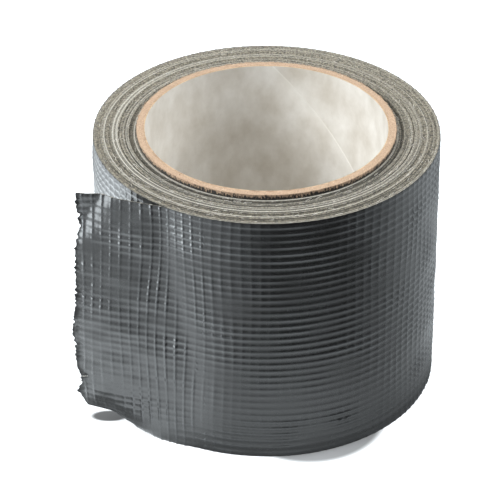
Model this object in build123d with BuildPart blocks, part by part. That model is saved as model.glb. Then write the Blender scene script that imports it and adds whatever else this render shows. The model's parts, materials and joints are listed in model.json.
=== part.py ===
"""A roll of wide cloth-backed duct tape standing on its side face, with its free end peeled off.

The roll is a spirally wound paper core with one long strip wound on it. The strip is a laminate:
a polyethylene film outside, a scrim of yarns in the middle, and a rubber adhesive inside. Laps that
stay wound are made in groups, each a solid ring. The outermost lap and the free end are made layer
by layer. The free end swings on two upright hinges: one on the line where the strip leaves the roll,
and one half way along it, where the tape bends.

Frame: millimetres, +Z up along the roll's axis, origin on that axis at the resting face. The free
end points towards -X. Seen from above, the strip winds inwards anticlockwise.
"""

import os
from math import cos, pi, radians, sin, tan

from build123d import *

# ---- Core ----------------------------------------------------------------------------------------
CORE_BORE = 76.2  # a three inch bore
CORE_LENGTH = 88.0  # the core is cut a little longer than the tape is wide
LINER_THICKNESS = 0.4
KRAFT_PLY_COUNT = 5
KRAFT_PLY_THICKNESS = 0.43
SEAM_GAP = 0.3  # between the edges of one kraft ply's winding
SEAM_PITCH_ANGLE = 46.7  # of a ply's edge, up from level
FIRST_SEAM_ANGLE = 34.0  # where the first ply's seam meets the resting face

# ---- Tape ----------------------------------------------------------------------------------------
TAPE_WIDTH = 86.5
FILM_THICKNESS = 0.05
SCRIM_THICKNESS = 0.05
ADHESIVE_THICKNESS = 0.07
TAPE_THICKNESS = FILM_THICKNESS + SCRIM_THICKNESS + ADHESIVE_THICKNESS

# Each group of wound laps: how many laps it holds and how far it overtops the strip.
LAP_GROUPS = [
    (4, -0.80),
    (4, -0.40),
    (4, -0.60),
    (12, -0.20),
    (9, -0.12),
    (5, 0.10),
    (10, 0.30),
    (12, 0.05),
    (11, -0.10),
    (9, 0.00),
]

# ---- Free end ------------------------------------------------------------------------------------
PEEL_ANGLE = 236.5  # where the strip leaves the roll, about the axis
TAIL_HEADING = 164.5  # the way that the free end points
TAIL_ROOT_LENGTH = 13.0  # from the peel line to the bend line
TAIL_LENGTH = 29.4  # from the peel line to the torn edge, on average
HINGE_GAP = 0.3  # between the pieces on each side of a hinge line
TOOTH_COUNT = 34  # the strip tears from yarn to yarn
TOOTH_DEPTH = 0.7
TEAR_WAVE = 1.2  # how far the torn edge wanders from square
TEAR_BULGE = 0.4  # the share of the width, from the bottom, where the free end is longest

core_bore_radius = CORE_BORE / 2
core_radius = core_bore_radius + LINER_THICKNESS + KRAFT_PLY_COUNT * KRAFT_PLY_THICKNESS
wound_lap_count = sum(laps for laps, _ in LAP_GROUPS)
pack_radius = core_radius + wound_lap_count * TAPE_THICKNESS
roll_radius = pack_radius + TAPE_THICKNESS

os.makedirs("parts", exist_ok=True)


def save(part, name):
    """Labels a finished piece and writes it as its own file."""
    part.label = name
    export_step(part, f"parts/{name}.step")


def polar(radius, angle):
    """The point at a radius and an angle in degrees about the axis."""
    return (radius * cos(radians(angle)), radius * sin(radians(angle)))


# ---- Core plies ----------------------------------------------------------------------------------
def ply_tube(inner_radius, thickness):
    """A paper tube as long as the core."""
    with BuildPart() as tube:
        with BuildSketch():
            Circle(inner_radius + thickness)
            Circle(inner_radius, mode=Mode.SUBTRACT)
        extrude(amount=CORE_LENGTH)
    return tube.part


def butt_seam(middle_radius, thickness, seam_angle):
    """The helical slit between the edges of one ply's winding, running past both ends of the core."""
    lead = 2 * pi * middle_radius * tan(radians(SEAM_PITCH_ANGLE))
    overrun = 4.0
    with BuildPart() as slit:
        with BuildLine() as seam_line:
            Helix(pitch=lead, height=CORE_LENGTH + 2 * overrun, radius=middle_radius)
        start = seam_line.edges()[0]
        with BuildSketch(Plane(origin=start @ 0, x_dir=(1, 0, 0), z_dir=start % 0)):
            Rectangle(thickness * 3, SEAM_GAP)
        sweep(path=seam_line.wires()[0], is_frenet=True)
    start_angle = seam_angle - 360 * overrun / lead
    return slit.part.rotate(Axis.Z, start_angle).translate((0, 0, -overrun))


def kraft_ply(inner_radius, seam_angle):
    """A kraft tube slit along its seam."""
    slit = butt_seam(inner_radius + KRAFT_PLY_THICKNESS / 2, KRAFT_PLY_THICKNESS, seam_angle)
    with BuildPart() as ply:
        add(ply_tube(inner_radius, KRAFT_PLY_THICKNESS))
        add(slit, mode=Mode.SUBTRACT)
    return ply.part


def make_core():
    """The white liner that faces the bore, and the kraft plies round it.

    The liner's edges overlap and are glued, so it is a closed tube. The kraft plies' edges butt.
    """
    save(ply_tube(core_bore_radius, LINER_THICKNESS), "core_liner")
    seam_step = 360 / KRAFT_PLY_COUNT
    for i in range(KRAFT_PLY_COUNT):
        inner_radius = core_bore_radius + LINER_THICKNESS + i * KRAFT_PLY_THICKNESS
        ply = kraft_ply(inner_radius, FIRST_SEAM_ANGLE + i * seam_step)
        save(ply, f"core_kraft_ply_{i + 1}")


# ---- Wound strip ---------------------------------------------------------------------------------
def lap_arcs(start_radius):
    """One lap of the winding as two half circles that bring it in by one tape thickness.

    The lap starts at the peel angle at start_radius and winds inwards anticlockwise.
    """
    shift = TAPE_THICKNESS / 4
    first = CenterArc(polar(shift, PEEL_ANGLE), start_radius - shift, PEEL_ANGLE, 180)
    second = CenterArc(
        polar(-shift, PEEL_ANGLE), start_radius - 3 * shift, PEEL_ANGLE + 180, 180
    )
    return first, second


def lap_outline(start_radius):
    """A closed lap: the two half circles, and the step down to the lap below."""
    first, second = lap_arcs(start_radius)
    Line(second @ 1, first @ 0)


def wound_group(inner_radius, outer_radius, height):
    """A group of laps that stay wound, as one ring. The innermost group lies on the round core."""
    with BuildPart() as group:
        with BuildSketch():
            with BuildLine():
                lap_outline(outer_radius)
            make_face()
            if inner_radius > core_radius:
                with BuildLine():
                    lap_outline(inner_radius)
                make_face(mode=Mode.SUBTRACT)
            else:
                Circle(core_radius, mode=Mode.SUBTRACT)
        extrude(amount=height)
    return group.part


def make_wound_laps():
    """The laps from the core outwards, group by group."""
    first_lap = 1
    inner_radius = core_radius
    for laps, edge_shift in LAP_GROUPS:
        outer_radius = inner_radius + laps * TAPE_THICKNESS
        last_lap = first_lap + laps - 1
        group = wound_group(inner_radius, outer_radius, TAPE_WIDTH + edge_shift)
        save(group, f"wound_laps_{first_lap:02d}_{last_lap:02d}")
        first_lap = last_lap + 1
        inner_radius = outer_radius


# The three layers of the strip: name, and depth of its outer and inner face below the film's face.
LAYERS = [
    ("film", 0.0, FILM_THICKNESS),
    ("scrim", FILM_THICKNESS, FILM_THICKNESS + SCRIM_THICKNESS),
    ("adhesive", FILM_THICKNESS + SCRIM_THICKNESS, TAPE_THICKNESS),
]


def make_outer_lap():
    """The outermost lap, each layer an open ring that starts at the peel line."""
    for layer, outer_depth, inner_depth in LAYERS:
        with BuildPart() as lap:
            with BuildSketch():
                with BuildLine():
                    outer_first, outer_second = lap_arcs(roll_radius - outer_depth)
                    inner_first, inner_second = lap_arcs(roll_radius - inner_depth)
                    Line(outer_first @ 0, inner_first @ 0)
                    Line(outer_second @ 1, inner_second @ 1)
                make_face()
            extrude(amount=TAPE_WIDTH)
        save(lap.part, f"outer_lap_{layer}")


# ---- Free end ------------------------------------------------------------------------------------
def tail_plane(depth):
    """Lies in the free end: x runs from the peel line to the torn edge, y up, z towards the roll."""
    along = (cos(radians(TAIL_HEADING)), sin(radians(TAIL_HEADING)), 0)
    towards_roll = (along[1], -along[0], 0)
    return Plane(
        origin=(*polar(roll_radius, PEEL_ANGLE), 0), x_dir=along, z_dir=towards_roll
    ).offset(depth)


def torn_edge():
    """The ragged edge from bottom to top: a slow wander with a tooth at each gap between yarns."""
    points = []
    for i in range(2 * TOOTH_COUNT + 1):
        share = i / (2 * TOOTH_COUNT)
        wander = TEAR_WAVE * cos(pi * (share - TEAR_BULGE) / (1 - TEAR_BULGE))
        tooth = TOOTH_DEPTH * (i % 2) * (0.6 + 0.4 * sin(2.4 * i))
        points.append((TAIL_LENGTH + wander - tooth, TAPE_WIDTH * share))
    return points


def tail_piece(near, far_points, depth, thickness):
    """One layer of one stretch of the free end, from x = near out to the points of its far edge."""
    with BuildPart() as piece:
        with BuildSketch(tail_plane(depth)):
            with BuildLine():
                Polyline((near, 0), *far_points, (near, TAPE_WIDTH), close=True)
            make_face()
        extrude(amount=thickness)
    return piece.part


def make_tail():
    """The free end in two stretches, each of the three layers."""
    half_gap = HINGE_GAP / 2
    root_far = TAIL_ROOT_LENGTH - half_gap
    root_edge = [(root_far, 0), (root_far, TAPE_WIDTH)]
    for layer, outer_depth, inner_depth in LAYERS:
        thickness = inner_depth - outer_depth
        root = tail_piece(HINGE_GAP, root_edge, outer_depth, thickness)
        save(root, f"tail_root_{layer}")
        tip = tail_piece(
            TAIL_ROOT_LENGTH + half_gap, torn_edge(), outer_depth, thickness
        )
        save(tip, f"tail_tip_{layer}")


make_core()
make_wound_laps()
make_outer_lap()
make_tail()

bend_x, bend_y = (
    polar(roll_radius, PEEL_ANGLE)[k] + polar(TAIL_ROOT_LENGTH, TAIL_HEADING)[k]
    for k in (0, 1)
)
peel_x, peel_y = polar(roll_radius, PEEL_ANGLE)
tape_length = pi * (roll_radius**2 - core_radius**2) / TAPE_THICKNESS + TAIL_LENGTH
print(f"core radius {core_radius:.2f}, roll radius {roll_radius:.2f}")
print(f"peel hinge at {peel_x:.4f}, {peel_y:.4f}")
print(f"bend hinge at {bend_x:.4f}, {bend_y:.4f}")
print(f"wound laps {wound_lap_count}, strip length {tape_length / 1000:.1f} m")
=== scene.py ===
"""Looks of a roll of wide cloth-backed duct tape, standing on its side face, free end peeled off.

Lengths are millimetres until a mesh is made. Every mesh is in metres in the CAD's frame: +Z up
along the roll's axis, origin on that axis at the resting face. A place on the strip is given by
"along", the distance from the peel line (positive on the free end, negative on the roll), by
"height", and by "offset", the distance outwards from the face of the film.
"""

import json
from math import atan2, cos, degrees, hypot, pi, radians, sin, tan

import bpy
import numpy as np
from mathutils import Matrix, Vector


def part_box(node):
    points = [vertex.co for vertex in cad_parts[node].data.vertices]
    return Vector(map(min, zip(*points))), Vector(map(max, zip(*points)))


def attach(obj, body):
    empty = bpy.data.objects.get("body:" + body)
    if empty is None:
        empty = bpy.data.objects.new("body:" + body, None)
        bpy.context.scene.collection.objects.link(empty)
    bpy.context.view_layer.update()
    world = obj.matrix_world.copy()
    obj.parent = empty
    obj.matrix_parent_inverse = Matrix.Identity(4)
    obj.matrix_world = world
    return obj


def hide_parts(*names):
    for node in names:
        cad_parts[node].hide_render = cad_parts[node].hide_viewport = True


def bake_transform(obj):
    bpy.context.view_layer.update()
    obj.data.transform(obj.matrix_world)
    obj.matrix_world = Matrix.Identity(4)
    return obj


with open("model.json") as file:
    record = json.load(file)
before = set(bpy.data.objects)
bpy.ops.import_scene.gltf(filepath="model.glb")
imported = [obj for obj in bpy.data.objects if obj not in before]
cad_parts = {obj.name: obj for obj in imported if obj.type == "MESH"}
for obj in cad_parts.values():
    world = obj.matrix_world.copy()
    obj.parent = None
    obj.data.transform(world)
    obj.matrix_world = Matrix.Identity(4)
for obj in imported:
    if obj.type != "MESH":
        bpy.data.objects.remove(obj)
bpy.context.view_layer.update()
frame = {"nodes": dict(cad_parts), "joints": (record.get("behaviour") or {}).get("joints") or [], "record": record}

MM = 0.001
joints = {joint["name"]: joint for joint in frame["joints"]}


def joint_place(name):
    """A hinge's place in plan, in millimetres."""
    x, y, _ = joints[name]["pos_m"]
    return x / MM, y / MM


# ---- Sizes from the frame ----
peel_x, peel_y = joint_place("tail_peel")
bend_x, bend_y = joint_place("tail_bend")
ROLL_RADIUS = hypot(peel_x, peel_y)
PEEL_ANGLE = degrees(atan2(peel_y, peel_x)) % 360
TAIL_HEADING = degrees(atan2(bend_y - peel_y, bend_x - peel_x))
TAPE_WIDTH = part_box("outer_lap_film")[1].z / MM
mounts = {mount["name"]: mount for mount in frame["record"]["mounts"]}
BORE_RADIUS = mounts["core_bore"]["dims"]["r_mm"]
LINER_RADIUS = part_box("core_liner")[1].x / MM
CORE_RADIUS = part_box("core_kraft_ply_5")[1].x / MM
CORE_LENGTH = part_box("core_liner")[1].z / MM
FILM_THICKNESS = 0.05
TAPE_THICKNESS = 0.17
LAP_GROUPS = sorted(name for name in frame["nodes"] if name.startswith("wound_laps"))

# ---- Yarns under the film ----
WARP_PITCH = 2.4  # between the yarns that run along the strip
WEFT_PITCH = 3.0  # between the yarns that run across it
WARP_RIDGE = 0.22  # the width of the ridge over a yarn, as a share of the pitch
WARP_RIDGE_GAIN = 0.08  # how much wider it is on the free end
WEFT_RIDGE = 0.13
WARP_RELIEF = 0.21
WARP_LOSS = 0.42  # the share of the warp's relief that is gone on the free end
WEFT_LOSS = 0.25  # the share of the weft's relief that is gone where a warp yarn crosses it
WEFT_RELIEF_TIGHT = 0.07  # at the front, where the strip is wound tightest
WEFT_RELIEF_SLACK = 0.15
WEFT_RELIEF_TAIL = 0.23
TIGHTEST_PLACE = -45.0
TIGHT_REACH = 22.0
PATCHINESS = 0.36  # how much the relief comes and goes from patch to patch
WARP_WIDTH = 0.7
WARP_THICKNESS = 0.11
WEFT_WIDTH = 0.5
WEFT_THICKNESS = 0.09
TAIL_EMBOSSING = 0.9  # the share of the yarns' relief that the free end's film shows

# ---- Free end ----
TAIL_START = -13.5  # where the free end's pieces begin, still stuck to the roll
TAIL_SPLIT = 9.4  # where the two stretches of the free end meet
LEAVE_TOP = 1.0  # where the strip leaves the roll at its top edge
LEAVE_BOTTOM = -9.0
LEAVE_HEIGHTS = (77.0, 20.0)  # at LEAVE_TOP above these, and at LEAVE_BOTTOM below
CREASE_WIDTH = 6.0
FLAT_PLACE = -2.5  # before the crease the film is taut, and its yarns show less
FLAT_WIDTH = 3.5
FLAT_LOSS = 0.6
TIP_TURN = -14.0  # how far the torn end turns back towards the roll near its foot, in degrees
TIP_TURN_AT_TOP = 0.2  # the share of that turn at the top
TIP_STRETCH = (13.0, 30.0)  # the places along the strip between which it turns
TIP_HEIGHTS = (60.0, 20.0)
CURL_START = -10.0  # where the fold of the lower corner begins, along the bottom edge
CURL_SLOPE = 28.0  # of the fold line, in degrees
CURL_REACH = 14.5  # how far below the fold line it has turned by CURL_ANGLE
CURL_ANGLE = 110.0
CURL_POWER = 1.5  # the curl tightens towards the corner
CURL_LOSS = 0.45  # the share of the curl that is gone at the torn edge
CURL_LOSS_STRETCH = (17.0, 28.0)
LIP_WIDTH = 1.1  # the torn edge flares over this width near its top, and over twice it low down
LIP_FLARE = 0.29  # how far it flares, as a share of that width
LIP_UNEVENNESS = 0.23
LIP_FOOT = (5.0, 13.0)  # the flare fades out between these heights
LOW_HEIGHTS = (60.0, 40.0)  # below these the torn edge is more damaged
LOW_DAMAGE = 1.1
FOOT_HEIGHTS = (18.0, 10.0)  # below these it is damaged most of all
FOOT_DAMAGE = 1.6
DULLED_WIDTH = 0.5  # of the dulled band along the torn edge, near its top
BULGE = 0.28
SMALL_BULGE = 0.09
CORNER_DENT = 1.25  # how far a diagonal dent beside the upper corner is pushed back
CORNER_DENT_WIDTH = 3.1
CORNER_DENT_PLACE = 21.7  # where the middle of the dent meets the top edge
CORNER_DENT_ACROSS = (0.838, 0.546)  # a step across the dent, along the strip and up
TOOTH = 0.28  # of the torn edge, about one to a yarn
FINE_TOOTH = 0.16

# The torn edge from bottom to top: height, and distance from the peel line.
TEAR_LINE = [
    (0.0, 10.4), (2.2, 12.6), (3.6, 14.8), (4.6, 17.2), (6.6, 18.7), (7.3, 20.7),
    (7.6, 22.7), (7.8, 25.0), (8.0, 27.2), (9.6, 28.5), (11.8, 29.4), (14.4, 30.2),
    (16.2, 28.8), (21.0, 28.1), (22.7, 30.1), (31.6, 30.2), (34.4, 30.9), (39.6, 30.6),
    (43.2, 29.9), (50.9, 29.5), (65.5, 29.8), (72.4, 29.0), (74.4, 28.2), (76.5, 29.2),
    (78.3, 28.3), (79.7, 29.2), (86.5, 29.0),
]


# ---- Smooth noise ----
def ripple(seed, wavelength, *coordinates, waves=6):
    """Smooth noise of about unit size: sine waves of about one length, in random directions."""
    random = np.random.default_rng(seed)
    total = 0.0
    for _ in range(waves):
        direction = random.normal(size=len(coordinates))
        direction *= 2 * pi / (wavelength * random.uniform(0.6, 1.6) * np.linalg.norm(direction))
        phase = random.uniform(0, 2 * pi)
        total = total + np.sin(sum(d * c for d, c in zip(direction, coordinates)) + phase)
    return total / np.sqrt(waves)


def eased(value, start, stop, first=0.0, last=1.0):
    """first before start, last past stop, and smooth in between."""
    share = np.clip((value - start) / (stop - start), 0, 1)
    share = share * share * (3 - 2 * share)
    return first + (last - first) * share


def bell(distance, width):
    """1 at no distance, falling smoothly to nothing a few widths away."""
    return np.exp(-((distance / width) ** 2))


# ---- Shape of the strip ----
def yarn_ridge(place, width, seed):
    """The ridge over the nearest of the yarns one unit apart, each a little different."""
    yarn = np.round(place)
    uneven = np.sin(yarn * 12.9898 + seed)  # two turns and a bit a yarn
    return bell(place - yarn, width) * (0.85 + 0.25 * uneven)


def weft_size(along, height):
    """The weft's relief, least where the strip is wound tightest."""
    tight = bell(along - TIGHTEST_PLACE, TIGHT_REACH)
    on_roll = WEFT_RELIEF_SLACK + (WEFT_RELIEF_TIGHT - WEFT_RELIEF_SLACK) * tight
    return eased(along - leaving(height), -4, 2, on_roll, WEFT_RELIEF_TAIL)


def warp_place(along, height):
    """The number of the warp yarn over a place, from the bottom, as a fraction."""
    return height / WARP_PITCH - 0.5 + 0.10 * ripple(1, 70, along, 3 * height)


def weft_place(along, height):
    """The number of the weft yarn over a place, from the peel line, as a fraction."""
    return along / WEFT_PITCH + 0.16 * ripple(2, 55, 3 * along, height)


def yarn_relief(along, height):
    """How far the film stands out over its yarns."""
    past_leaving = along - leaving(height)
    free = eased(past_leaving, -2, 10)
    warp = yarn_ridge(warp_place(along, height), WARP_RIDGE + WARP_RIDGE_GAIN * free, 0.7)
    weft = yarn_ridge(weft_place(along, height), WEFT_RIDGE, 2.1)
    over_warp = WARP_RELIEF * (1 - WARP_LOSS * free) * warp
    over_weft = weft_size(along, height) * weft * (1 - WEFT_LOSS * warp)
    patchy = 1 + PATCHINESS * ripple(3, 14, along, height)
    taut = 1 - FLAT_LOSS * bell(past_leaving - FLAT_PLACE, FLAT_WIDTH)
    return (over_warp + over_weft) * patchy * taut


def spiral_radius(angle):
    """The radius of the outermost lap's face at an angle."""
    return ROLL_RADIUS - TAPE_THICKNESS * (angle - PEEL_ANGLE) / 360


def leaving(height):
    """Where the strip leaves the roll: early at the bottom, where it is pulled outwards."""
    return eased(height, *LEAVE_HEIGHTS, LEAVE_TOP, LEAVE_BOTTOM)


class FreeEndPlan:
    """A table of the free end's place in plan, along it and at each height."""

    STEP = 0.1  # along the strip
    ROW = 1.0
    END = 36.0  # past the torn edge

    def __init__(self):
        self.along = np.arange(TAIL_START, self.END, self.STEP)
        self.rows = np.arange(0, TAPE_WIDTH + self.ROW, self.ROW)
        middle = (self.along + self.STEP / 2)[:, None]
        heading = np.radians(self.heading(middle, self.rows[None, :]))
        start_angle = PEEL_ANGLE - degrees(TAIL_START / ROLL_RADIUS)
        start = spiral_radius(start_angle)
        self.x = start * cos(radians(start_angle)) + self.run(np.cos(heading))
        self.y = start * sin(radians(start_angle)) + self.run(np.sin(heading))

    def heading(self, along, height):
        """The way the strip runs, in degrees: round the roll, then outwards and straight."""
        leave = leaving(height)
        on_roll = PEEL_ANGLE - 90 - np.degrees(np.minimum(along, leave) / ROLL_RADIUS)
        at_leaving = PEEL_ANGLE - 90 - np.degrees(leave / ROLL_RADIUS)
        turned = eased(along - leave, -CREASE_WIDTH / 2, CREASE_WIDTH / 2)
        tip = eased(along, *TIP_STRETCH) * eased(height, *TIP_HEIGHTS, TIP_TURN_AT_TOP, 1.0)
        return on_roll + (TAIL_HEADING - at_leaving) * turned + TIP_TURN * tip

    def run(self, steps):
        """The running sum of steps along the strip, from 0."""
        total = np.cumsum(steps * self.STEP, axis=0)
        return np.vstack([np.zeros((1, total.shape[1])), total[:-1]])

    def place(self, along, height):
        """x and y of the film's face, between the table's values."""
        i = (along - TAIL_START) / self.STEP
        j = height / self.ROW
        i0 = np.clip(i.astype(int), 0, len(self.along) - 2)
        j0 = np.clip(j.astype(int), 0, len(self.rows) - 2)
        fi, fj = i - i0, j - j0

        def look_up(table):
            low = table[i0, j0] * (1 - fi) + table[i0 + 1, j0] * fi
            high = table[i0, j0 + 1] * (1 - fi) + table[i0 + 1, j0 + 1] * fi
            return low * (1 - fj) + high * fj

        return look_up(self.x), look_up(self.y)


free_end = FreeEndPlan()


def curl_table():
    """Distances below the fold line, and the curl's angle, way on and way inwards at each."""
    distance = np.linspace(0, 30, 601)
    angle = radians(CURL_ANGLE) * np.minimum(distance / CURL_REACH, 1) ** CURL_POWER
    step = distance[1] - distance[0]
    return distance, angle, np.cumsum(np.cos(angle)) * step, np.cumsum(np.sin(angle)) * step


curl_distance, *curl_columns = curl_table()


def tear_at(height):
    """Where the torn edge is along the strip: its wander and its teeth."""
    heights, lengths = zip(*TEAR_LINE)
    wander = np.interp(height, heights, lengths)
    tooth = TOOTH * ripple(11, 2.2, height) + FINE_TOOTH * ripple(12, 0.9, height)
    return wander + tooth


def damage(height):
    """How many times wider the torn edge's dulled band is than at the top."""
    low = LOW_DAMAGE * eased(height, *LOW_HEIGHTS)
    foot = FOOT_DAMAGE * eased(height, *FOOT_HEIGHTS)
    return 1 + low + foot


def stepped(place, pitch, share=0.35):
    """A place moved towards the nearest yarn."""
    return place - share * pitch / (2 * pi) * np.sin(2 * pi * place / pitch)


def bulges(along, height):
    """Slow bulges of the free end, and the dent that sets off its upper corner."""
    free = eased(along - leaving(height), 0, 8)
    slow = BULGE * ripple(21, 26, along, height) + SMALL_BULGE * ripple(22, 9, along, height)
    cell_along = stepped(along, WEFT_PITCH)
    cell_height = stepped(height - WARP_PITCH / 2, WARP_PITCH) + WARP_PITCH / 2
    ahead, up = CORNER_DENT_ACROSS
    across = (cell_along - CORNER_DENT_PLACE) * ahead + (cell_height - TAPE_WIDTH) * up
    return free * slow - CORNER_DENT * bell(across, CORNER_DENT_WIDTH)


def torn_lip(along, height):
    """How far the torn edge flares outwards, close to the tear."""
    width = LIP_WIDTH * (1 + eased(height, *LOW_HEIGHTS))
    flare = (LIP_FLARE + LIP_UNEVENNESS * ripple(23, 7, height)) * width
    to_tear = np.maximum(1 - (tear_at(height) - along) / width, 0)
    return flare * to_tear**2 * eased(height, *LIP_FOOT)


def strip_point(along, height, offset):
    """The point of the free end at a place on the strip."""
    slope = radians(CURL_SLOPE)
    fold_height = (along - CURL_START) * tan(slope)
    below = np.maximum((fold_height - height) * cos(slope), 0)
    below = below * (1 - CURL_LOSS * eased(along, *CURL_LOSS_STRETCH))
    foot = along - below * sin(slope)
    x, y = free_end.place(foot, np.clip(height, 0, TAPE_WIDTH))
    heading = np.radians(free_end.heading(foot, height))
    ahead = np.stack([np.cos(heading), np.sin(heading), 0 * heading], axis=-1)
    outward = np.stack([-np.sin(heading), np.cos(heading), 0 * heading], axis=-1)
    down = sin(slope) * ahead - cos(slope) * np.array([0, 0, 1.0])
    angle, forward, inward = (
        np.interp(below, curl_distance, column)[..., None] for column in curl_columns
    )
    normal = outward * np.cos(angle) + down * np.sin(angle)
    foot_point = np.stack([x, y, height + below * cos(slope)], axis=-1)
    curled = foot_point + down * forward - outward * inward
    outwards = offset + bulges(along, height) + torn_lip(along, height)
    return curled + normal * outwards[..., None]


def axis_points(radius, turn, height):
    """Points at a radius, an angle in radians and a height."""
    grids = np.broadcast_arrays(radius * np.cos(turn), radius * np.sin(turn), height)
    return np.stack(grids, axis=-1)


def roll_point(along, height, offset):
    """The point of the outermost lap at a place on the strip."""
    angle = PEEL_ANGLE - np.degrees(along / ROLL_RADIUS)
    return axis_points(spiral_radius(angle) + offset, np.radians(angle), height)


# ---- Meshes ----
def make_piece(name, points, faces, material, values=None):
    """A mesh object from points in millimetres, and named values for each point."""
    mesh = bpy.data.meshes.new(name)
    mesh.from_pydata((np.asarray(points).reshape(-1, 3) * MM).tolist(), [], faces)
    mesh.update()
    mesh.shade_smooth()
    for key, numbers in (values or {}).items():
        attribute = mesh.attributes.new(key, "FLOAT", "POINT")
        attribute.data.foreach_set("value", np.asarray(numbers, np.float32).ravel())
    piece = bpy.data.objects.new(name, mesh)
    bpy.context.scene.collection.objects.link(piece)
    mesh.materials.append(material)
    return piece


def grid_faces(columns, rows, first=0, flip=False):
    """Quads of a grid of points stored column by column."""
    i, j = np.meshgrid(np.arange(columns - 1), np.arange(rows - 1), indexing="ij")
    a = (first + i * rows + j).ravel()
    quads = np.stack([a, a + rows, a + rows + 1, a + 1], axis=-1)
    return (quads[:, ::-1] if flip else quads).tolist()


def slab(outer, inner):
    """A closed sheet from two grids. The inner one may have fewer rows."""
    columns, outer_rows = outer.shape[:2]
    inner_rows = inner.shape[1]
    first = columns * outer_rows
    points = np.concatenate([outer.reshape(-1, 3), inner.reshape(-1, 3)])
    faces = grid_faces(columns, outer_rows, flip=True) + grid_faces(columns, inner_rows, first)
    for i in range(columns - 1):
        a, b = i * outer_rows, (i + 1) * outer_rows
        c, d = first + i * inner_rows, first + (i + 1) * inner_rows
        faces.append([a, b, d, c])
        up, inner_up = outer_rows - 1, inner_rows - 1
        faces.append([a + up, c + inner_up, d + inner_up, b + up])
    run = (outer_rows - 1) // (inner_rows - 1)  # rows of the outer grid to each of the inner one
    for column, turn in ((0, 1), (columns - 1, -1)):
        for j in range(inner_rows - 1):
            rim = [column * outer_rows + j * run + k for k in range(run + 1)]
            back = first + column * inner_rows + j
            faces.append((rim + [back + 1, back])[::turn])
    return points, faces


def tube_faces(rings, sides, flip=False):
    """The faces of a closed tube whose points are stored ring by ring."""
    faces = []
    for i in range(rings - 1):
        near, far = i * sides, (i + 1) * sides
        for j in range(sides):
            k = (j + 1) % sides
            face = [near + j, near + k, far + k, far + j]
            faces.append(face[:1] + face[:0:-1] if flip else face)
    start = list(range(sides))[::-1]
    end = list(range((rings - 1) * sides, rings * sides))
    return faces + ([start[::-1], end[::-1]] if flip else [start, end])


def make_tubes(name, tubes, material):
    """One mesh object from several tubes."""
    points, faces, first = [], [], 0
    for tube_points, its_faces in tubes:
        points.append(tube_points)
        faces += [[first + k for k in face] for face in its_faces]
        first += len(tube_points)
    return make_piece(name, np.concatenate(points), faces, material)


def smooth_by_angle(piece, angle=40.0):
    """Keeps the edges sharper than an angle crisp."""
    piece.data.set_sharp_from_angle(angle=radians(angle))


# ---- Colours ----
BLACK = (0.0, 0.0, 0.0)
FILM_BLACK = (0.0030, 0.0028, 0.0024)
FILM_CLOUDED = (0.0055, 0.0053, 0.0050)
FILM_SCUFFED = (0.030, 0.033, 0.035)
# painted sheen over the yarn ridges
FILM_RIDGE_SHEEN = (0.022, 0.024, 0.026)
FILM_TORN = (0.006, 0.006, 0.006)
ADHESIVE_DARK = (0.10, 0.092, 0.075)
ADHESIVE_GREY = (0.155, 0.144, 0.118)
ADHESIVE_OVER_YARN = (0.26, 0.248, 0.222)
YARN_SHADED = (0.58, 0.55, 0.48)
YARN_WHITE = (0.88, 0.86, 0.80)
EDGE_DARK = (0.022, 0.018, 0.013)
EDGE_GREY = (0.33, 0.295, 0.222)
EDGE_PALE = (0.62, 0.59, 0.51)
EDGE_BROWN = (0.33, 0.235, 0.135)
EDGE_FILM = (0.025, 0.025, 0.023)
EDGE_THREAD = (0.92, 0.90, 0.86)
# painted shade in laps that stand in, and laps dark at random
EDGE_SHADE_AND_DARK_LAP = (0.02, 0.02, 0.018)
EDGE_SIDE = (0.012, 0.012, 0.012)
KRAFT_BROWN = (0.25, 0.17, 0.105)
KRAFT_TAN = (0.53, 0.37, 0.255)
KRAFT_SPECK = (0.10, 0.07, 0.05)
KRAFT_FLECK = (0.78, 0.67, 0.52)
# near black in dashes on the core's outer wall
KRAFT_DARKENED = (0.015, 0.013, 0.011)
LINER_BLOTCH = (0.47, 0.43, 0.37)
LINER_WHITE = (0.67, 0.645, 0.60)
LINER_FIBRE = (0.36, 0.31, 0.25)
LINER_SEAM = (0.76, 0.74, 0.69)
LINER_CUT_BROWN = (0.34, 0.22, 0.125)
LINER_CUT_TAN = (0.62, 0.46, 0.30)
FLOOR_SHADOW = (0.12, 0.12, 0.12)
FLOOR_WHITE = (0.88, 0.90, 0.92)
FLOOR_GLOW = (1.0, 1.0, 1.0)
REFLECTED_GLOW = (0.89, 0.96, 1.0)
LAMP_COLOUR = (0.95, 0.98, 1.0)
SURROUND_COLOUR = (0.93, 0.96, 1.0)


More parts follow.
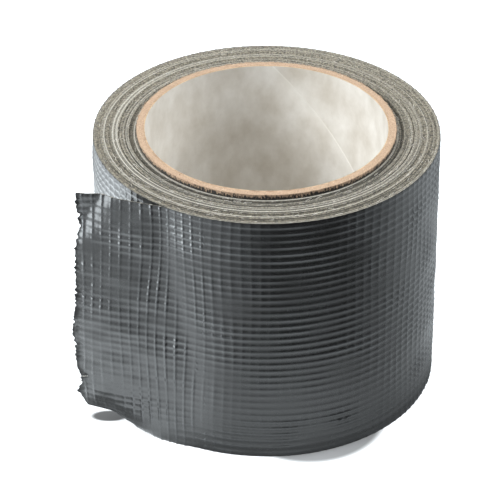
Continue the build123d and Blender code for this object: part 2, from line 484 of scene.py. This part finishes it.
# ---- Materials ----
class Surface:
    """A material built node by node round one Principled shader."""

    def __init__(self, name, roughness=0.5, **settings):
        self.material = bpy.data.materials.new(name)
        self.material.use_nodes = True
        self.tree = self.material.node_tree
        self.shader = self.tree.nodes["Principled BSDF"]
        self.shader.inputs["Roughness"].default_value = roughness
        for key, value in settings.items():
            self.feed(self.shader.inputs[key.replace("_", " ")], value)

    def add(self, kind, inputs=None, **settings):
        """A node with its inputs set to values or linked to sockets."""
        made = self.tree.nodes.new(kind)
        for key, value in settings.items():
            setattr(made, key, value)
        for key, value in (inputs or {}).items():
            self.feed(made.inputs[key], value)
        return made

    def feed(self, socket, value):
        """Links a socket to another, or sets its value. Colours come without alpha."""
        if isinstance(value, bpy.types.NodeSocket):
            self.tree.links.new(value, socket)
        elif socket.type == "RGBA":
            socket.default_value = (*value, 1.0)
        else:
            socket.default_value = value

    def place(self):
        """The point on the object, in metres."""
        return self.add("ShaderNodeTexCoord").outputs["Object"]

    def stretched(self, x, y, z):
        """The point on the object, scaled by a factor each way."""
        inputs = {"Vector": self.place(), "Scale": (x, y, z)}
        return self.add("ShaderNodeMapping", inputs).outputs["Vector"]

    def noise(self, scale, detail=4.0, roughness=0.55):
        """Smooth noise from 0 to 1 with features of about 1 / scale metres."""
        return self.noise_over(self.place(), detail, roughness, scale)

    def noise_over(self, vector, detail=4.0, roughness=0.55, scale=1.0):
        """Smooth noise from 0 to 1 over a scaled point."""
        inputs = {"Vector": vector, "Scale": scale, "Detail": detail, "Roughness": roughness}
        return self.add("ShaderNodeTexNoise", inputs).outputs["Fac"]

    def math(self, operation, a, b=0.0):
        """One arithmetic step."""
        return self.add("ShaderNodeMath", {0: a, 1: b}, operation=operation).outputs[0]

    def times(self, a, b):
        """The product of two values."""
        return self.math("MULTIPLY", a, b)

    def total(self, first, *others):
        """The sum of several values."""
        result = first
        for value in others:
            result = self.math("ADD", result, value)
        return result

    def vector_math(self, operation, a, b=(0.0, 0.0, 0.0), output="Vector"):
        """One step of vector arithmetic."""
        made = self.add("ShaderNodeVectorMath", {0: a, 1: b}, operation=operation)
        return made.outputs[output]

    def distance(self, vector, point):
        """How far a vector is from a point."""
        return self.vector_math("DISTANCE", vector, point, "Value")

    def parts(self, vector):
        """The x, y and z of a vector."""
        split = self.add("ShaderNodeSeparateXYZ", {"Vector": vector})
        return split.outputs["X"], split.outputs["Y"], split.outputs["Z"]

    def plan(self):
        """The point on the object seen from above."""
        return self.vector_math("MULTIPLY", self.place(), (1, 1, 0))

    def span(self, value, low, high, to_low=0.0, to_high=1.0, kind="LINEAR"):
        """A value's range from low to high, moved to another range."""
        inputs = {"Value": value, "From Min": low, "From Max": high}
        inputs |= {"To Min": to_low, "To Max": to_high}
        return self.add("ShaderNodeMapRange", inputs, interpolation_type=kind).outputs["Result"]

    def ease(self, value, low, high, to_low=0.0, to_high=1.0):
        """The same, but starting and stopping gently."""
        return self.span(value, low, high, to_low, to_high, "SMOOTHSTEP")

    def attribute(self, name):
        """One of the numbers stored on the mesh's points."""
        return self.add("ShaderNodeAttribute", attribute_name=name).outputs["Fac"]

    def tinted(self, base, tint, value, low, high, most=1.0):
        """A base colour, tinted by a share of most once a value reaches high."""
        return self.mix(self.span(value, low, high, 0.0, most), base, tint)

    def mix(self, share, a, b):
        """A colour between a and b."""
        made = self.add("ShaderNodeMix", {"Factor": share}, data_type="RGBA")
        self.feed(made.inputs[6], a)
        self.feed(made.inputs[7], b)
        return made.outputs[2]

    def around(self, radial, turning, upward=1.0):
        """The point scaled along the radius, the turn and the height, for grain that turns."""
        _, _, height = self.parts(self.place())
        plan = self.plan()
        unit = self.vector_math("NORMALIZE", plan)
        direction = self.vector_math("MULTIPLY", unit, (turning, turning, turning))
        far = self.times(self.vector_math("LENGTH", plan, output="Value"), radial)
        high = self.total(far, self.times(height, upward))
        shift = self.add("ShaderNodeCombineXYZ", {"X": far, "Y": far, "Z": high})
        return self.vector_math("ADD", direction, shift.outputs[0])

    def facing_out(self):
        """How squarely a face looks away from the roll's axis, from -1 to 1."""
        unit = self.vector_math("NORMALIZE", self.plan())
        normal = self.add("ShaderNodeNewGeometry").outputs["True Normal"]
        return self.vector_math("DOT_PRODUCT", normal, unit, "Value")

    def facing_up(self):
        """How squarely a face looks upwards, from -1 to 1."""
        normal = self.add("ShaderNodeNewGeometry").outputs["True Normal"]
        return self.parts(normal)[2]

    def colour(self, value):
        """Sets or links the base colour."""
        self.feed(self.shader.inputs["Base Color"], value)

    def roughness(self, value):
        """Links the roughness."""
        self.feed(self.shader.inputs["Roughness"], value)

    def glow(self, value):
        """Links the strength of the light that the surface gives off."""
        self.feed(self.shader.inputs["Emission Strength"], value)

    def bump(self, height, distance, strength=1.0):
        """Fine relief of up to distance metres."""
        inputs = {"Height": height, "Distance": distance, "Strength": strength}
        relief = self.add("ShaderNodeBump", inputs).outputs["Normal"]
        self.feed(self.shader.inputs["Normal"], relief)


def film_surface():
    """Satin black polyethylene, scuffed and finely crinkled, with painted sheen over the yarns."""
    look = Surface("tape_film", IOR=1.7)
    yarn = look.attribute("yarn")
    torn = look.attribute("torn")
    cloud = look.noise(60, detail=3)
    scuff = look.noise_over(look.stretched(900, 900, 260), detail=5)
    black = look.mix(cloud, FILM_BLACK, FILM_CLOUDED)
    worn = look.tinted(black, FILM_SCUFFED, scuff, 0.58, 0.8, 0.3)
    # Painted sheen: the film is lighter where it stands over the yarns.
    ridge_sheen = look.tinted(worn, FILM_RIDGE_SHEEN, yarn, 0.4, 1.2, 0.3)
    look.colour(look.mix(torn, ridge_sheen, FILM_TORN))
    over_yarn = look.span(yarn, 0.0, 1.0, 0.25, 0.20)
    patchy = look.span(cloud, 0.3, 0.7, -0.03, 0.05)
    dulled = look.span(torn, 0, 1, 0, 0.55)
    look.roughness(look.total(over_yarn, patchy, dulled))
    crinkle = look.noise_over(look.stretched(1400, 1400, 900))
    look.bump(crinkle, 0.00005, 0.5)
    return look.material


def adhesive_surface():
    """Rubber adhesive: grey and tacky, with the yarns showing lighter through it."""
    look = Surface("tape_adhesive", roughness=0.45)
    cloud = look.noise(220, detail=3)
    gum = look.mix(cloud, ADHESIVE_DARK, ADHESIVE_GREY)
    yarn = look.attribute("yarn")
    look.colour(look.tinted(gum, ADHESIVE_OVER_YARN, yarn, 0.1, 0.8, 0.8))
    look.roughness(look.span(cloud, 0.3, 0.7, 0.35, 0.55))
    look.bump(look.noise(2600), 0.00008, 0.6)
    return look.material


def yarn_surface():
    """Cotton and polyester yarn: off-white, with fine fibres."""
    look = Surface("scrim_yarn", roughness=0.85, Sheen_Weight=0.2)
    fibre = look.noise_over(look.stretched(3000, 3000, 3000))
    look.colour(look.mix(fibre, YARN_SHADED, YARN_WHITE))
    look.bump(fibre, 0.00005, 0.7)
    return look.material


def wound_surface():
    """The slit edges of the laps: black film, then grey yarn and gum, in each."""
    look = Surface("wound_edge", roughness=0.68)
    tone = look.attribute("tone")
    lap = look.math("FRACT", look.attribute("lap"))
    grit = look.noise(1500, roughness=0.75)
    smear = look.noise_over(look.around(1300, 60, 200), roughness=0.7)
    wisp = look.noise_over(look.around(2600, 80, 300), roughness=0.75)
    gum = look.tinted(EDGE_DARK, EDGE_GREY, grit, 0.38, 0.62)
    toned = look.tinted(gum, EDGE_PALE, tone, 0.0, 1.0, 0.8)
    browned = look.tinted(toned, EDGE_BROWN, smear, 0.60, 0.75, 0.45)
    line = look.times(look.span(lap, 0.38, 0.28), look.span(smear, 0.62, 0.42, 0.1, 0.6))
    lined = look.mix(line, browned, EDGE_FILM)
    thread = look.times(look.span(wisp, 0.58, 0.67), look.span(tone, -0.3, 0.5))
    frayed = look.mix(thread, lined, EDGE_THREAD)
    # Painted shade in the laps that stand in, and laps dark at random, take a near-black colour.
    shaded_and_dark_laps = look.tinted(frayed, EDGE_SHADE_AND_DARK_LAP, tone, -0.25, -1.0, 0.92)
    look.colour(look.tinted(shaded_and_dark_laps, EDGE_SIDE, look.facing_out(), 0.25, 0.6))
    look.bump(grit, 0.00016, 0.8)
    return look.material


def kraft_surface():
    """Brown kraft board, fibrous and specked, near black in dashes where the tape begins."""
    look = Surface("kraft_board", roughness=0.8)
    fibre = look.noise_over(look.around(1500, 90, 900), detail=5, roughness=0.7)
    speck = look.noise(1700, detail=2)
    board = look.tinted(KRAFT_BROWN, KRAFT_TAN, fibre, 0.3, 0.7)
    specked = look.tinted(board, KRAFT_SPECK, speck, 0.70, 0.75, 0.85)
    flecked = look.tinted(specked, KRAFT_FLECK, speck, 0.32, 0.26, 0.7)
    # Near black in dashes on the outward face, more of it lower down, towards the laps.
    dashes = look.noise_over(look.around(20, 80, 900), roughness=0.7)
    _, _, height = look.parts(look.place())
    lower = look.span(height, CORE_LENGTH * MM, TAPE_WIDTH * MM, -0.12, 0.10)
    dark_dashes = look.span(look.total(dashes, lower), 0.44, 0.50)
    darkened_wall = look.times(look.span(look.facing_out(), 0.3, 0.6), dark_dashes)
    look.colour(look.mix(darkened_wall, flecked, KRAFT_DARKENED))
    look.bump(fibre, 0.00015, 0.6)
    return look.material


def liner_surface():
    """White-faced paper liner, faintly blotched, brown where it is cut."""
    look = Surface("core_liner_paper", roughness=0.62)
    blotch = look.noise_over(look.stretched(1, 1, 0.7), 4, 0.6, scale=95)
    fibre = look.noise(1800, roughness=0.7)
    paper = look.tinted(LINER_BLOTCH, LINER_WHITE, blotch, 0.3, 0.7)
    grained = look.tinted(paper, LINER_FIBRE, fibre, 0.38, 0.22, 0.45)
    seamed = look.mix(look.attribute("seam"), grained, LINER_SEAM)
    cut = look.mix(fibre, LINER_CUT_BROWN, LINER_CUT_TAN)
    look.colour(look.tinted(seamed, cut, look.facing_up(), 0.5, 0.8))
    look.bump(look.total(fibre, blotch), 0.00008, 0.5)
    return look.material


# The two shadows painted on the floor, in metres, and the radii between which each fades out.
CORNER_SHADOW = (-0.050, -0.066, 0.0)  # with y doubled
CORNER_SHADOW_RADII = (0.0046, 0.0068)
CRESCENT = (0.0135, -0.0335, 0.0)
CRESCENT_RADII = (0.0225, 0.0258)
CRESCENT_DEPTH = 0.88
CRESCENT_INSIDE = (0.041, 0.050)  # the distances from the axis between which it fades in
FLOOR_GLOW_STRENGTH = 0.35


def floor_surface():
    """A plain pale sheet with the two painted shadows."""
    look = Surface("floor_sheet", roughness=0.7, Emission_Color=FLOOR_GLOW)
    from_corner = look.distance(look.stretched(1.0, 2.0, 1.0), CORNER_SHADOW)
    from_crescent = look.distance(look.place(), CRESCENT)
    from_axis = look.distance(look.place(), (0.0, 0.0, 0.0))
    shaded = look.ease(from_crescent, *CRESCENT_RADII, CRESCENT_DEPTH, 0)
    crescent = look.times(shaded, look.ease(from_axis, *CRESCENT_INSIDE))
    beside = look.math("SUBTRACT", 1.0, crescent)
    lit = look.times(look.ease(from_corner, *CORNER_SHADOW_RADII), beside)
    look.colour(look.mix(lit, FLOOR_SHADOW, FLOOR_WHITE))
    look.glow(look.times(lit, FLOOR_GLOW_STRENGTH))
    return look.material


film = film_surface()
adhesive = adhesive_surface()
yarn_material = yarn_surface()
wound_edge = wound_surface()
kraft = kraft_surface()
liner_paper = liner_surface()


# ---- Outermost lap ----
SKIN_YARNS = (-5, -62, -122)  # the two halves of the skin lie between these weft yarns
COLUMNS_OVER_WEFT = (0.5, 0.22, 0.1, 0.0, -0.1, -0.22)  # of the skin's grid, in pitches
ROWS_PER_WARP = 6


def skin_places(first_yarn, last_yarn):
    """A grid of places on the outermost lap, from one gap between weft yarns to another.

    Its lines follow the yarns, and those across the strip are closest together over the weft.
    """
    yarns = np.arange(first_yarn, last_yarn, -1)
    columns = np.add.outer(yarns, COLUMNS_OVER_WEFT).ravel()
    columns = np.append(columns, last_yarn + 0.5) * WEFT_PITCH
    rows = np.linspace(0, TAPE_WIDTH, ROWS_PER_WARP * round(TAPE_WIDTH / WARP_PITCH) + 1)
    column, row = np.meshgrid(columns, rows, indexing="ij")
    along, height = column, row
    from_edges = eased(np.minimum(row, TAPE_WIDTH - row), 0, 4)
    from_start = eased(TAIL_START - column, 0, 6)
    for _ in range(3):
        along_miss = weft_place(along, height) * WEFT_PITCH - along
        height_miss = (warp_place(along, height) + 0.5) * WARP_PITCH - height
        along = column - from_start * along_miss
        height = row - from_edges * height_miss
    return along, height


def make_outer_skin():
    """The film of the outermost lap, embossed, in two halves that meet at the back.

    Past a whole turn it runs on under the free end.
    """
    for half in (1, 2):
        along, height = skin_places(SKIN_YARNS[half - 1], SKIN_YARNS[half])
        relief = yarn_relief(along, height)
        outer = roll_point(along, height, relief)
        inner_along, inner_height = along[:, [0, -1]], height[:, [0, -1]]
        inner = roll_point(inner_along, inner_height, np.full(inner_along.shape, -FILM_THICKNESS))
        points, faces = slab(outer, inner)
        yarn = np.concatenate([(relief / WARP_RELIEF).ravel(), np.zeros(len(along) * 2)])
        piece = make_piece(f"outer_film_skin_{half}", points, faces, film, {"yarn": yarn})
        smooth_by_angle(piece)
        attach(piece, "roll")
        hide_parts("outer_lap_film")


# ---- Free end ----
SHEET_ROWS = 331  # of the layers' outer faces; the inner faces have every third or second one
FILM_BACK_ROWS = 111
GUM_BACK_ROWS = 166
GUM_DEPTH = 0.12  # the depth of the adhesive's outer face below the film's
EDGE_BEAD = 0.06  # the adhesive is this much thicker along the top edge
BEAD_WIDTH = 0.35
YARN_GAP = 0.01  # between the film and the yarns
WEFT_END = 1.8  # how far short of the torn edge a weft yarn stops
LAST_WEFT = 26.5  # the place along the strip past which no weft yarn is left
GUM_EMBOSSING = 0.6  # the share of the yarns' relief that the sticky face shows


def blend_across(piece):
    """Bakes the transform of a piece of the free end into its mesh."""
    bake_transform(piece)


def stretch_places(part, rows):
    """The grid of places on one stretch of the free end."""
    heights = np.linspace(0, TAPE_WIDTH, rows)
    if part == "root":
        alongs = np.linspace(TAIL_START, TAIL_SPLIT, 140)
        return np.meshgrid(alongs, heights, indexing="ij")
    share = np.linspace(0, 1, 120)[:, None]
    reach = tear_at(heights)[None, :] - TAIL_SPLIT
    along = TAIL_SPLIT + share * reach
    return along, np.broadcast_to(heights, along.shape)


def dulled(along, height):
    """1 at the torn edge, where the film is dull, and falling away from it."""
    return bell(tear_at(height) - along, DULLED_WIDTH * damage(height))


def make_tail_layer(part, layer, material, outer_depth, inner_offset, inner_rows, edge_bead=0.0):
    """One closed layer of one stretch of the free end, embossed on both faces."""
    along, height = stretch_places(part, SHEET_ROWS)
    relief = yarn_relief(along, height)
    outer = strip_point(along, height, relief * TAIL_EMBOSSING - outer_depth)
    in_along, in_height = stretch_places(part, inner_rows)
    in_relief = yarn_relief(in_along, in_height)
    bead = edge_bead * bell(TAPE_WIDTH - in_height, BEAD_WIDTH)
    inner = strip_point(in_along, in_height, inner_offset(in_relief) - bead)
    points, faces = slab(outer, inner)
    yarn = np.concatenate([relief.ravel(), in_relief.ravel()]) / WARP_RELIEF
    torn = [dulled(along, height).ravel(), dulled(in_along, in_height).ravel()]
    values = {"yarn": yarn, "torn": np.concatenate(torn)}
    name = f"tail_{part}_{layer}"
    piece = make_piece(f"{name}_sheet", points, faces, material, values)
    smooth_by_angle(piece, 60)
    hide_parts(name)
    blend_across(piece)


def yarn_tube(path_along, path_height, width_along, width_up, thickness):
    """Points and faces of a flattened yarn just inside the film."""
    sides = 6
    ring = np.linspace(0, 2 * pi, sides, endpoint=False)[None, :]
    along = path_along[:, None] + 0.5 * width_along * np.cos(ring)
    height = path_height[:, None] + 0.5 * width_up * np.cos(ring)
    middle = film_back(yarn_relief(along, height)) - YARN_GAP - thickness / 2
    points = strip_point(along, height, middle + 0.5 * thickness * np.sin(ring))
    return points.reshape(-1, 3), tube_faces(len(path_along), sides, flip=True)


def make_tail_scrim(part):
    """The yarns of one stretch of the free end, torn just short of the film."""
    random = np.random.default_rng(31)
    tubes = []
    root = part == "root"
    first = TAIL_START if root else TAIL_SPLIT
    for k in range(round(TAPE_WIDTH / WARP_PITCH)):
        height = (k + 0.5) * WARP_PITCH
        fray = random.uniform(-1.6, -0.3)
        torn_at = tear_at(height + np.array([-0.9, 0, 0.9])).min()
        end = TAIL_SPLIT if root else torn_at + fray
        alongs = np.arange(first, end, 0.6)
        alongs = np.append(alongs, end)
        heights = np.full(len(alongs), height)
        tubes.append(yarn_tube(alongs, heights, 0.0, WARP_WIDTH, WARP_THICKNESS))
    weft_first = int(np.ceil((first + 0.5) / WEFT_PITCH))
    weft_last = int((TAIL_SPLIT - 0.5 if root else LAST_WEFT) // WEFT_PITCH)
    for k in range(weft_first, weft_last + 1):
        heights = np.linspace(0.3, TAPE_WIDTH - 0.3, 110)
        heights = heights[tear_at(heights) > k * WEFT_PITCH + WEFT_END]
        alongs = np.full(len(heights), k * WEFT_PITCH)
        tubes.append(yarn_tube(alongs, heights, WEFT_WIDTH, 0.0, WEFT_THICKNESS))
    piece = make_tubes(f"tail_{part}_scrim_yarns", tubes, yarn_material)
    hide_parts(f"tail_{part}_scrim")
    blend_across(piece)


def film_back(relief):
    """The film's inner face."""
    return relief * TAIL_EMBOSSING - FILM_THICKNESS


def gum_back(relief):
    """The adhesive's sticky face, where the yarns show through."""
    return -TAPE_THICKNESS - GUM_EMBOSSING * relief


def make_free_end():
    """Film, yarns and adhesive of both stretches of the free end."""
    for part in ("root", "tip"):
        make_tail_layer(part, "film", film, 0.0, film_back, FILM_BACK_ROWS)
        make_tail_scrim(part)
        make_tail_layer(part, "adhesive", adhesive, GUM_DEPTH, gum_back, GUM_BACK_ROWS, EDGE_BEAD)


# ---- Wound laps ----
# Rings of laps that stand out or in: distance from the core, half width, and height at the front.
LAP_BANDS = [
    (0.60, 0.40, 0.22), (1.75, 0.55, -0.60), (2.55, 0.25, 0.20), (3.60, 0.14, -0.35),
    (4.15, 0.15, 0.18), (5.50, 0.16, -0.40), (6.35, 0.40, 0.30), (7.50, 0.35, 0.34),
    (8.60, 0.14, -0.35), (10.2, 0.25, 0.12), (12.4, 0.12, -0.20), (13.1, 0.12, 0.14),
]
FRONT = 270.0  # the side where the laps stand most out of line
FRAYED_SIDE = 230.0
CORE_DIP = 0.35  # the laps beside the core lie this far below the outer ones, at the front
DIP_WIDTH = 4.0
FULL_TONE_HEIGHT = 0.35  # a lap that stands out or in by this is palest or darkest
WOUND_LAP_COUNT = 80
LAP_COLUMNS = 430


def towards(angle, side):
    """1 on one side of the roll, in degrees, and 0 on the opposite side."""
    return 0.5 + 0.5 * np.cos(np.radians(angle - side))


def band_height(depth_in):
    """How far the laps at a distance from the core stand out, at the front."""
    return sum(size * bell(depth_in - at, half) for at, half, size in LAP_BANDS)


def lap_edge(turns, depth_in, angle):
    """The height of a lap's slit edge above the tape's width."""
    front = towards(angle, FRONT)
    dip = eased(depth_in, 0, DIP_WIDTH, CORE_DIP, 0)
    jitter = 0.035 * ripple(42, 2.3, turns) + 0.02 * ripple(43, 0.9, turns)
    return (band_height(depth_in) - dip) * (0.3 + 0.7 * front) + jitter * (0.5 + 0.8 * front)


def lap_tone(turns, depth_in, angle):
    """From -1, dark, to 1, frayed and pale. Painted shade darkens laps that stand in."""
    # Painted shade: laps that stand in are darkened, most of all at the front.
    sunken_shade = 0.2 + 0.8 * towards(angle, FRONT) ** 3
    frayed = 0.25 + 0.75 * towards(angle, FRAYED_SIDE)
    bands = np.clip(band_height(depth_in) / FULL_TONE_HEIGHT, -1, 1)
    drift = 0.5 * ripple(44, 4.1, turns) * ripple(45, 1.3, turns)
    return np.clip(bands * np.where(bands > 0, frayed, sunken_shade) + drift, -1, 1)


def make_lap_group(node, first_lap, last_lap):
    """One group of laps as a closed ring, stepped from lap to lap."""
    laps = last_lap - first_lap + 1
    seam = 0.06  # the share of a lap's thickness that its step takes up on each side
    places = np.sort(np.concatenate([np.arange(laps) + seam, np.arange(1, laps + 1) - seam]))
    turn = np.linspace(PEEL_ANGLE, PEEL_ANGLE + 360, LAP_COLUMNS)
    angle, place = np.meshgrid(turn, places, indexing="ij")
    drawn_in = TAPE_THICKNESS * (angle - PEEL_ANGLE) / 360
    radius = CORE_RADIUS + last_lap * TAPE_THICKNESS - drawn_in - place * TAPE_THICKNESS
    depth_in = radius - CORE_RADIUS
    radius = np.maximum(radius, CORE_RADIUS)
    turns = WOUND_LAP_COUNT - last_lap + np.floor(place) + (angle - PEEL_ANGLE) / 360
    middle = depth_in + (place - np.floor(place) - 0.5) * TAPE_THICKNESS
    top = TAPE_WIDTH + lap_edge(turns, middle, angle)
    upper = axis_points(radius, np.radians(angle), top)
    lower = upper[:, [0, -1]].copy()
    lower[..., 2] = 0
    points, faces = slab(upper[:, ::-1], lower[:, ::-1])
    rest = np.zeros(LAP_COLUMNS * 2)
    tone = lap_tone(turns, middle, angle)[:, ::-1]
    values = {
        "tone": np.concatenate([tone.ravel(), rest]),
        "lap": np.concatenate([place[:, ::-1].ravel(), rest + 0.5]),
    }
    piece = make_piece(f"{node}_edges", points, faces, wound_edge, values)
    smooth_by_angle(piece, 30)
    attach(piece, "roll")
    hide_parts(node)


def make_wound_laps():
    """The groups of laps, numbered from the core outwards."""
    for node in LAP_GROUPS:
        first_lap, last_lap = (int(number) for number in node.split("_")[-2:])
        make_lap_group(node, first_lap, last_lap)


EDGE_FIBRE_COUNT = 260


def make_edge_fibres():
    """Loose ends of yarn on the upper side face, lying mostly along the winding."""
    random = np.random.default_rng(51)
    tubes = []
    for _ in range(EDGE_FIBRE_COUNT):
        radius = random.uniform(CORE_RADIUS + 1.2, ROLL_RADIUS - 0.4)
        angle = random.normal(250, 55)
        length = random.uniform(0.5, 2.6)
        lean = random.normal(0, 0.25)
        steps = np.linspace(0, 1, 5)
        curve = random.normal(0, 0.25) * (steps - steps**2)
        radii = radius + lean * length * steps + curve
        angles = np.radians(angle) + length * steps / radius
        rise = random.uniform(0.0, 0.22)
        lift = TAPE_WIDTH + 0.02 + rise * np.sin(pi * steps * random.uniform(0.5, 1))
        tubes.append(fibre_tube(axis_points(radii, angles, lift), random.uniform(0.025, 0.05)))
    piece = make_tubes("edge_fibres", tubes, yarn_material)
    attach(piece, "roll")


def fibre_tube(path, thickness):
    """A thin tube of square section round a path of points."""
    sides = 4
    tangent = np.gradient(path, axis=0)
    tangent /= np.linalg.norm(tangent, axis=1)[:, None]
    side = np.cross(tangent, [0, 0, 1.0])
    side /= np.linalg.norm(side, axis=1)[:, None]
    above = np.cross(side, tangent)
    ring = np.linspace(0, 2 * pi, sides, endpoint=False)[None, :, None]
    sideways = thickness * np.cos(ring) * side[:, None]
    upwards = thickness * np.sin(ring) * above[:, None]
    points = path[:, None] + sideways + upwards
    return points.reshape(-1, 3), tube_faces(len(path), sides)


# ---- Core ----
SEAM_FOOT_ANGLE = -38.0  # where the liner's seam meets the resting face
SEAM_RISE = 0.7056  # millimetres of height for each degree of turn
SEAM_LAP = 0.12  # the step where the liner's edge lies on its other edge
SEAM_STEP = 0.35  # the degrees over which it rises
CORE_FUZZ_COUNT = 520


def make_liner():
    """The paper liner, with the step of its helical lapped seam."""
    columns, rows = 361, 60
    spread = np.linspace(-1, 1, columns)
    turn = 180 * np.sign(spread) * np.abs(spread) ** 1.6
    heights = np.linspace(0, CORE_LENGTH, rows)
    from_seam, height = np.meshgrid(turn, heights, indexing="ij")
    angle = np.radians(SEAM_FOOT_ANGLE + height / SEAM_RISE + from_seam)
    lapped = eased(from_seam, -SEAM_STEP / 2, SEAM_STEP / 2) * eased(from_seam, 9, 3)
    radius = BORE_RADIUS + 0.02 * ripple(61, 25, 0.66 * from_seam, height) - SEAM_LAP * lapped
    inner = axis_points(radius, angle, height)
    outer = axis_points(LINER_RADIUS, angle, height)
    points, faces = slab(inner, outer)
    seam = 0.35 * bell(from_seam + 0.1, 0.55) + 0.15 * lapped
    values = np.concatenate([seam.ravel(), np.zeros(seam.size)])
    piece = make_piece("core_liner_lapped", points, faces, liner_paper, {"seam": values})
    smooth_by_angle(piece, 50)
    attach(piece, "roll")
    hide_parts("core_liner")


def make_core_fuzz():
    """Burrs of paper fibre round both edges of the cut end of the core."""
    random = np.random.default_rng(71)
    tubes = []
    for _ in range(CORE_FUZZ_COUNT):
        outside = random.random() < 0.5
        radius = CORE_RADIUS if outside else LINER_RADIUS
        angle = random.uniform(0, 2 * pi)
        length = random.uniform(0.3, 1.3)
        steps = np.linspace(0, 1, 4)
        lean = random.normal(0.12, 0.16) * (1 if outside else -1)
        radii = radius + lean * length * steps
        angles = angle + random.choice((-1, 1)) * length * steps / radius
        lift = CORE_LENGTH + random.uniform(-0.02, 0.10) + random.uniform(-0.1, 0.25) * steps
        tubes.append(fibre_tube(axis_points(radii, angles, lift), random.uniform(0.03, 0.09)))
    piece = make_tubes("core_edge_fuzz", tubes, kraft)
    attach(piece, "roll")


def cad_material(name):
    """The material of a CAD node."""
    if name.startswith("core_kraft"):
        return kraft
    if name.startswith(("wound", "outer_lap_scrim", "outer_lap_adhesive")):
        return wound_edge
    layers = {"film": film, "adhesive": adhesive, "scrim": yarn_material}
    return layers.get(name.split("_")[-1], liner_paper)


def dress_cad_nodes():
    """Gives the CAD nodes that stay their materials."""
    for name, node in frame["nodes"].items():
        node.data.materials.clear()
        node.data.materials.append(cad_material(name))


# ---- Stage ----
def make_floor():
    """A plain pale floor."""
    size = 3000.0
    points = [(-size, -size, 0), (size, -size, 0), (size, size, 0), (-size, size, 0)]
    floor = make_piece("floor", points, [[0, 1, 2, 3]], floor_surface())


def aim(thing, place, target):
    """Puts a lamp or camera at a place, looking at a target, in metres."""
    thing.location = place
    thing.rotation_euler = (Vector(target) - Vector(place)).to_track_quat("-Z", "Y").to_euler()


def add_softbox(name, place, size, power):
    """A rectangular studio lamp, aimed at the roll."""
    lamp = bpy.data.lights.new(name, "AREA")
    lamp.shape = "RECTANGLE"
    lamp.size, lamp.size_y = size
    lamp.energy = power
    lamp.color = LAMP_COLOUR
    thing = bpy.data.objects.new(name, lamp)
    bpy.context.scene.collection.objects.link(thing)
    aim(thing, place, (0, 0, 0.04))


def make_lights():
    """Soft boxes on both sides, a faint one above, and a dim surround."""
    add_softbox("left_box", (-0.76, -0.20, 0.64), (0.6, 0.5), 15.0)
    add_softbox("right_box", (0.76, 0.12, 0.62), (0.6, 0.5), 10.8)
    add_softbox("top_box", (0.0, -0.35, 0.95), (0.8, 0.6), 2.6)
    world = bpy.data.worlds.new("surround")
    bpy.context.scene.world = world
    world.use_nodes = True
    background = world.node_tree.nodes["Background"]
    background.inputs["Color"].default_value = (*SURROUND_COLOUR, 1)
    background.inputs["Strength"].default_value = 0.24


def surroundings_surface():
    """What the film reflects: bright near the roll and on the left, dark at the back.

    It is set by the radius in millimetres and the turn from the front in degrees, negative to the
    left. A window stands far out on the left, and the roll's foot is in shade.
    """
    look = Surface("surroundings", roughness=1.0, Emission_Color=REFLECTED_GLOW)
    look.shader.inputs["Specular IOR Level"].default_value = 0.0
    look.colour(BLACK)
    plan = look.plan()
    x, y, _ = look.parts(plan)
    radius = look.math("DIVIDE", look.vector_math("LENGTH", plan, output="Value"), MM)
    turn = look.times(look.math("ARCTAN2", x, look.times(y, -1.0)), degrees(1))

    left = look.ease(turn, -50, -85, 0, 1.6)
    near_right = look.ease(turn, 60, 0, 0, 0.65)
    near_left = look.ease(turn, -12, -45, 0, 1.7)
    near = look.total(0.78, near_right, near_left, left)
    far_right = look.ease(turn, 40, 95, 0, 0.85)
    far_left = look.span(turn, 0, -40, 0, 1.3)
    far = look.total(0.10, far_right, far_left, left)
    inputs = {"Factor": look.span(radius, 75, 175), "A": near, "B": far}
    sheet = look.add("ShaderNodeMix", inputs, data_type="FLOAT").outputs[0]

    at_roll = look.ease(radius, 50, 68, 0.2, 1)
    at_corner = look.ease(look.distance(plan, (-0.054, -0.043, 0)), 0.007, 0.020, 0.2, 1)
    shaded = look.times(sheet, look.times(at_roll, at_corner))
    behind_left = look.ease(turn, -105, -150, 1.0, 0.2)
    behind_right = look.ease(turn, 110, 150, 1, 0.6)
    dimmed = look.times(shaded, look.times(behind_left, behind_right))

    across = look.times(look.ease(turn, -48, -60), look.ease(turn, -95, -80, 0, 6.0))
    window = look.times(across, look.ease(radius, 220, 270))
    look.glow(look.total(dimmed, window))
    return look.material


def make_surroundings():
    """A floor ring and a low wall that only reflections see."""
    profile = ((42.0, 0.2), (700.0, 0.2), (700.0, 250.0))  # radius and height
    sides = 72
    turn = np.linspace(0, 2 * pi, sides, endpoint=False)
    rings = [axis_points(radius, turn, height) for radius, height in profile]
    faces = []
    for first in (0, sides):
        for i in range(sides):
            j = (i + 1) % sides
            faces.append([first + i, first + sides + i, first + sides + j, first + j])
    bowl = make_piece("surroundings", np.concatenate(rings), faces, surroundings_surface())
    bowl.visible_camera = False
    bowl.visible_diffuse = False
    bowl.visible_shadow = False


def make_camera():
    """A long lens from the front, looking down by a third of a right angle."""
    target = Vector((-0.00514, 0, 0.04178))
    distance = 0.932
    down = radians(33.15)
    camera = bpy.data.cameras.new("camera")
    camera.sensor_width = 36.0
    camera.lens = 208.86
    thing = bpy.data.objects.new("camera", camera)
    bpy.context.scene.collection.objects.link(thing)
    place = target + Vector((0, -cos(down), sin(down))) * distance
    aim(thing, place, target)
    bpy.context.scene.camera = thing


make_camera()
make_floor()
make_lights()
make_surroundings()
dress_cad_nodes()
make_outer_skin()
make_free_end()
make_wound_laps()
make_edge_fibres()
make_liner()
make_core_fuzz()
bpy.context.scene.view_settings.view_transform = "Standard"
